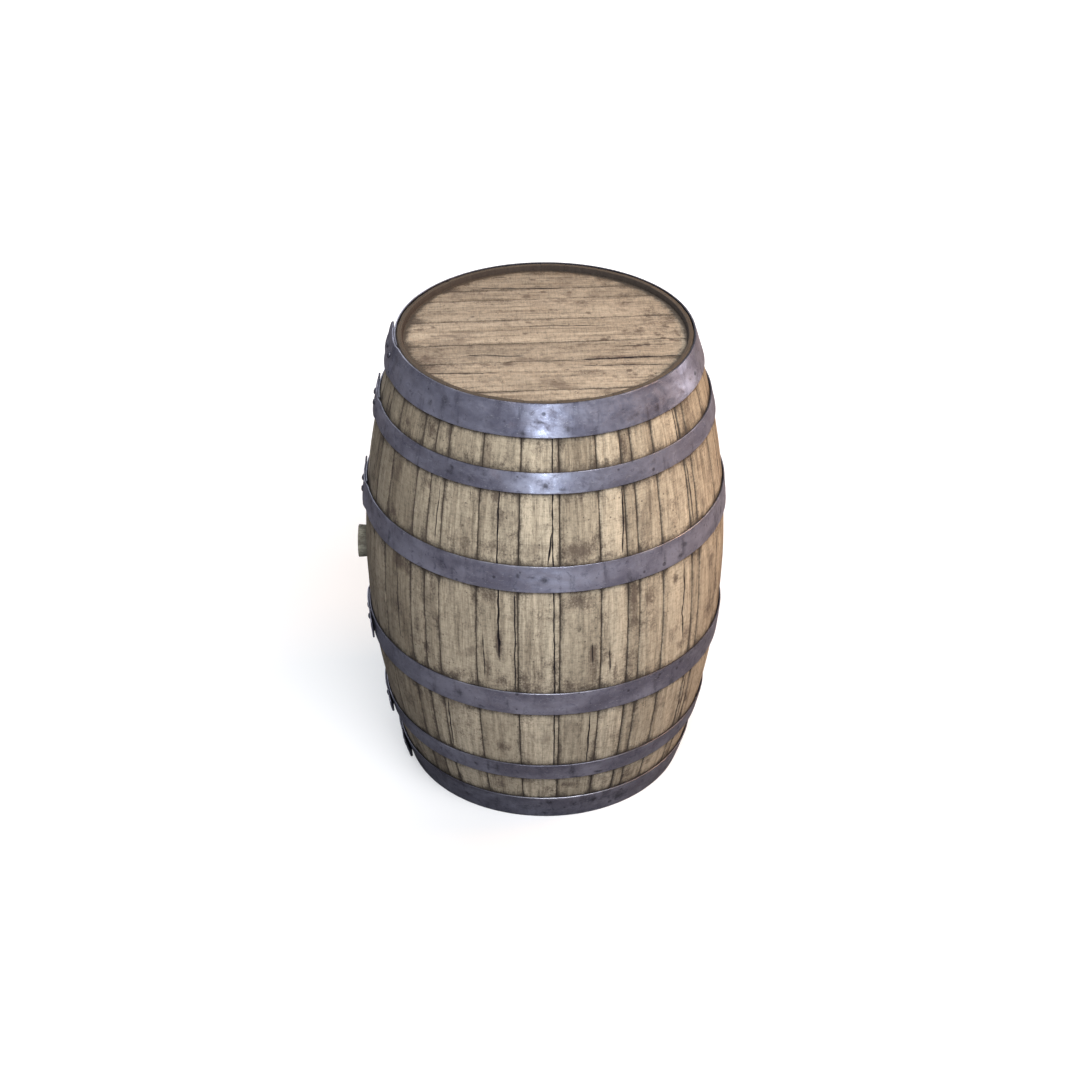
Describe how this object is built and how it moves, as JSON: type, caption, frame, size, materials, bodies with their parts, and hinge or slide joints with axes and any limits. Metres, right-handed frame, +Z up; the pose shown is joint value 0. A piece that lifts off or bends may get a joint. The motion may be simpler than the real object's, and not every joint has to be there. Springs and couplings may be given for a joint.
{
  "type": "oak wine barrel",
  "caption": "Bulging oak barrel of bevelled staves held by riveted steel hoops, with doweled heads set in grooves and a tapered bung that pulls out of the side.",
  "frame": {"origin": "on the barrel's axis, level with the lower end of the staves, which the barrel stands on", "axes": "+Z up along the barrel's axis, -X towards the bung, +Y away from the front"},
  "size_m": [0.727, 0.7108, 0.95],
  "materials": {
    "stave_oak": "weathered, rough sawn, stained at the joints and beside the hoops",
    "head_oak": "weathered, rough sawn, with dark knots and splits",
    "dowel_oak": "plain turned oak",
    "hoop_steel": "dull blue-grey strip, blotched and scratched, bright on its edges",
    "rivet_steel": "dark hammered heads",
    "bung_oak": "grey weathered end grain"
  },
  "bodies": {
    "barrel": {"bung_stave": "stave_oak", "stave_01": "stave_oak", "stave_02": "stave_oak", "stave_03": "stave_oak", "stave_04": "stave_oak", "stave_05": "stave_oak", "stave_06": "stave_oak", "stave_07": "stave_oak", "stave_08": "stave_oak", "stave_09": "stave_oak", "stave_10": "stave_oak", "stave_11": "stave_oak", "stave_12": "stave_oak", "stave_13": "stave_oak", "stave_14": "stave_oak", "stave_15": "stave_oak", "stave_16": "stave_oak", "stave_17": "stave_oak", "stave_18": "stave_oak", "stave_19": "stave_oak", "stave_20": "stave_oak", "stave_21": "stave_oak", "stave_22": "stave_oak", "stave_23": "stave_oak", "stave_24": "stave_oak", "stave_25": "stave_oak", "stave_26": "stave_oak", "stave_27": "stave_oak", "stave_28": "stave_oak", "stave_29": "stave_oak", "stave_30": "stave_oak", "top_head_board_1": "head_oak", "top_head_board_2": "head_oak", "top_head_board_3": "head_oak", "top_head_board_4": "head_oak", "top_head_board_5": "head_oak", "top_head_board_6": "head_oak", "top_head_board_7": "head_oak", "bottom_head_board_1": "head_oak", "bottom_head_board_2": "head_oak", "bottom_head_board_3": "head_oak", "bottom_head_board_4": "head_oak", "bottom_head_board_5": "head_oak", "bottom_head_board_6": "head_oak", "bottom_head_board_7": "head_oak", "top_head_dowels": "dowel_oak", "bottom_head_dowels": "dowel_oak", "top_head_hoop": "hoop_steel", "top_quarter_hoop": "hoop_steel", "top_bilge_hoop": "hoop_steel", "bottom_head_hoop": "hoop_steel", "bottom_quarter_hoop": "hoop_steel", "bottom_bilge_hoop": "hoop_steel", "hoop_rivets": "rivet_steel"},
    "bung": {"bung": "bung_oak"}
  },
  "joints": [
    {"name": "bung_pull", "type": "slide", "parent": "barrel", "child": "bung", "axis": [-1, 0, 0], "range_m": [0, 0.09]}
  ]
}
